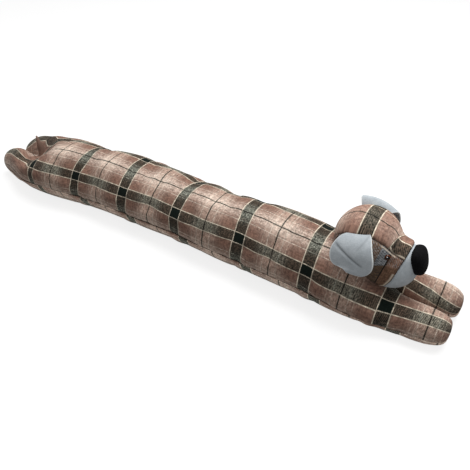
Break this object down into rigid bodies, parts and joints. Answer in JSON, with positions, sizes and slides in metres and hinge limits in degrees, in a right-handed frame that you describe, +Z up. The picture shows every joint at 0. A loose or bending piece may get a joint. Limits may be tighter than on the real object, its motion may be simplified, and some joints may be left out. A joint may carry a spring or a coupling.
{
  "type": "draught excluder",
  "caption": "Long filled draught excluder of checked cloth in the shape of a lying dog, with a grey muzzle and ears; it lies along the foot of a door",
  "frame": {"origin": "middle of the length and width, on the surface that the part lies on", "axes": "+X along the body towards the head, +Y to the dog's left, away from the side that the picture shows, +Z up"},
  "size_m": [0.8966, 0.1569, 0.1598],
  "materials": {
    "checked_cloth": "brushed twill in a brown, charcoal and cream window-pane check",
    "checked_base_cloth": "the same checked twill, cut as the underside panel",
    "grey_flannel": "felted light grey flannel with a turned edge",
    "black_cloth": "matt black brushed cloth",
    "eye": "polished toy eye with an amber ring and a dark pupil"
  },
  "bodies": {
    "root": {"body": "checked_cloth", "base_panel": "checked_base_cloth", "head_crown": "checked_cloth", "head_side_near": "checked_cloth", "head_side_far": "checked_cloth", "muzzle": "grey_flannel", "nose": "black_cloth", "eye_near": "eye", "eye_far": "eye", "ear_near": "grey_flannel", "ear_far": "grey_flannel", "tail": "checked_cloth"}
  },
  "joints": []
}
